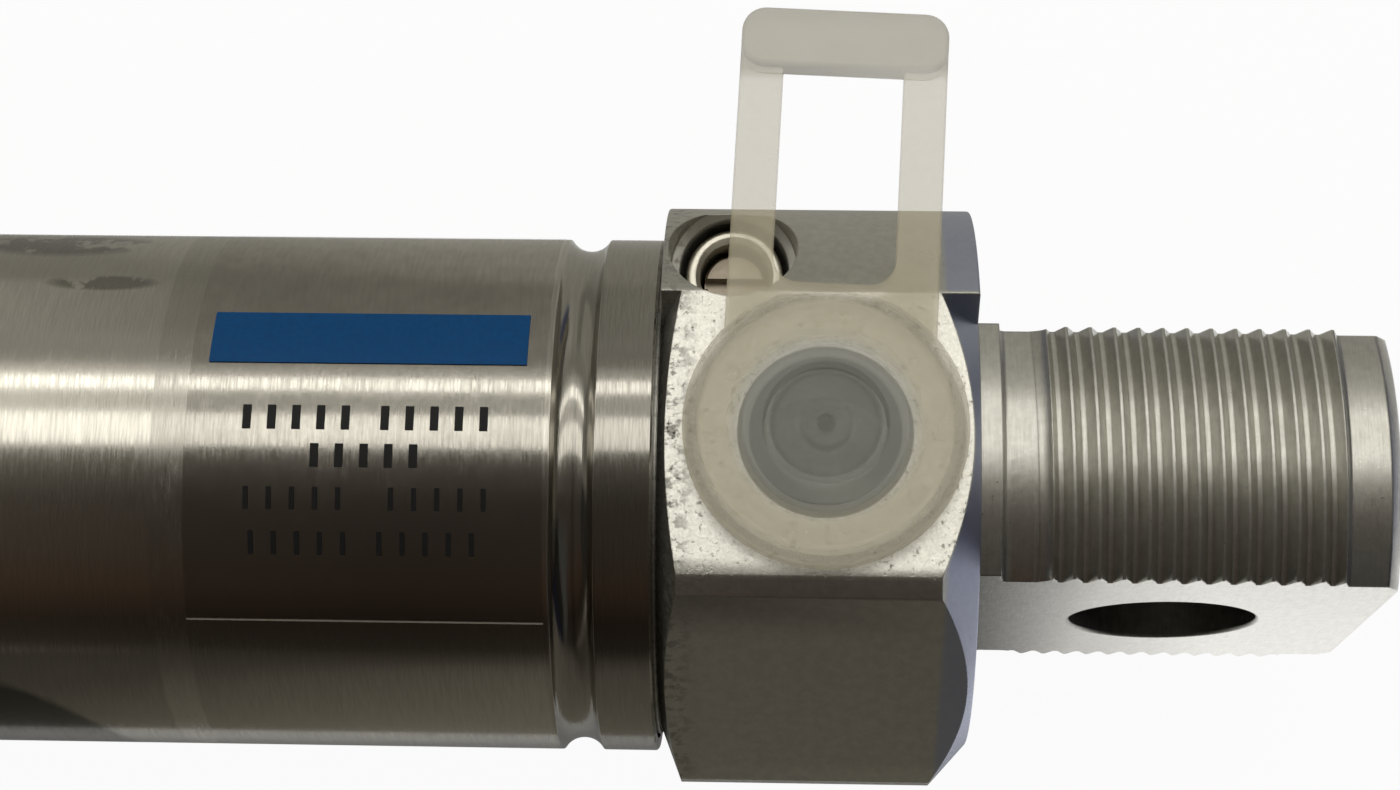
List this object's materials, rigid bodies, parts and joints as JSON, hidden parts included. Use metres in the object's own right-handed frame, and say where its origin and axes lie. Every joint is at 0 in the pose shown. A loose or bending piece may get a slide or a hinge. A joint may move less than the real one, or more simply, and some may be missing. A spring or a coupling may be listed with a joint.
{
  "type": "pneumatic cylinder",
  "caption": "Round double-acting pneumatic cylinder with rolled steel barrel, hexagonal caps, threaded tongue and neck, adjustable cushioning and plugged air ports.",
  "frame": {"origin": "centre of the rear end face, on the cylinder's axis", "axes": "+X along the axis from the rear tongue to the rod's end, +Z out of the air ports, -Y towards the cushion screws"},
  "size_m": [0.4256, 0.0475, 0.0369],
  "materials": {
    "stainless_tube": "circumferentially brushed stainless steel",
    "cap_aluminium": "fine blasted wrought aluminium alloy",
    "thread_aluminium": "turned aluminium",
    "rod_steel": "ground and polished stainless steel rod",
    "zinc_steel": "zinc plated steel",
    "screw_steel": "turned steel, slotted",
    "sleeve_steel": "bright turned ring",
    "seal_rubber": "matt black rubber",
    "seal_polyurethane": "smooth dark polyurethane",
    "plug_plastic": "translucent natural polyethylene",
    "acetal": "smooth acetal",
    "bush_bronze": "sintered bronze",
    "magnet_ferrite": "plastic-bonded ferrite"
  },
  "bodies": {
    "housing": {"cylinder_barrel": "stainless_tube", "end_cap": "cap_aluminium", "bearing_cap": "cap_aluminium", "rear_barrel_oring": "seal_rubber", "front_barrel_oring": "seal_rubber", "rear_cushion_seal": "seal_polyurethane", "front_cushion_seal": "seal_polyurethane", "rear_screw_sleeve": "sleeve_steel", "front_screw_sleeve": "sleeve_steel", "rod_bush": "bush_bronze", "rod_wiper_seal": "seal_polyurethane"},
    "seal_carriage": {"piston_guide_ring": "acetal", "front_piston_seal": "seal_polyurethane", "rear_piston_seal": "seal_polyurethane"},
    "rod_assembly": {"piston_rod": "rod_steel", "piston_front_half": "thread_aluminium", "piston_rear_half": "thread_aluminium", "piston_magnet": "magnet_ferrite", "piston_oring": "seal_rubber", "front_bumper": "seal_polyurethane", "rear_bumper": "seal_polyurethane", "front_cushion_sleeve": "thread_aluminium", "rear_cushion_spigot": "thread_aluminium"},
    "rod_nut_body": {"rod_nut": "zinc_steel"},
    "mounting_nut_body": {"mounting_nut": "zinc_steel"},
    "rear_screw_carrier": {"rear_screw_oring": "seal_rubber"},
    "rear_screw_body": {"rear_cushion_screw": "screw_steel"},
    "front_screw_carrier": {"front_screw_oring": "seal_rubber"},
    "front_screw_body": {"front_cushion_screw": "screw_steel"},
    "rear_plug_body": {"rear_port_plug": "plug_plastic"},
    "front_plug_body": {"front_port_plug": "plug_plastic"}
  },
  "joints": [
    {"name": "rod_slide", "type": "slide", "parent": "housing", "child": "seal_carriage", "axis": [1, 0, 0], "range_m": [0, 0.25]},
    {"name": "rod_turn", "type": "hinge", "parent": "seal_carriage", "child": "rod_assembly", "pos_m": [0.0727, 0, 0], "axis": [1, 0, 0], "continuous": true},
    {"name": "rod_nut_turn", "type": "hinge", "parent": "rod_assembly", "child": "rod_nut_body", "pos_m": [0.4101, 0, 0], "axis": [1, 0, 0], "range_deg": [0, 3600]},
    {"name": "mounting_nut_turn", "type": "hinge", "parent": "housing", "child": "mounting_nut_body", "pos_m": [0.3796, 0, 0], "axis": [1, 0, 0], "range_deg": [0, 3600]},
    {"name": "rear_screw_lift", "type": "slide", "parent": "housing", "child": "rear_screw_carrier", "axis": [0, 0, 1], "range_m": [0, 0.0015]},
    {"name": "rear_screw_turn", "type": "hinge", "parent": "rear_screw_carrier", "child": "rear_screw_body", "pos_m": [0.041, -0.0126, 0], "axis": [0, 0, 1], "range_deg": [0, 1080]},
    {"name": "front_screw_lift", "type": "slide", "parent": "housing", "child": "front_screw_carrier", "axis": [0, 0, 1], "range_m": [0, 0.0015]},
    {"name": "front_screw_turn", "type": "hinge", "parent": "front_screw_carrier", "child": "front_screw_body", "pos_m": [0.3544, -0.0126, 0], "axis": [0, 0, 1], "range_deg": [0, 1080]},
    {"name": "rear_plug_pull", "type": "slide", "parent": "housing", "child": "rear_plug_body", "axis": [0, 0, 1], "range_m": [0, 0.012]},
    {"name": "front_plug_pull", "type": "slide", "parent": "housing", "child": "front_plug_body", "axis": [0, 0, 1], "range_m": [0, 0.012]}
  ],
  "couplings": [
    {"joint": "rear_screw_turn", "follows": "rear_screw_lift", "rad_per_m": 12566},
    {"joint": "front_screw_turn", "follows": "front_screw_lift", "rad_per_m": 12566}
  ]
}
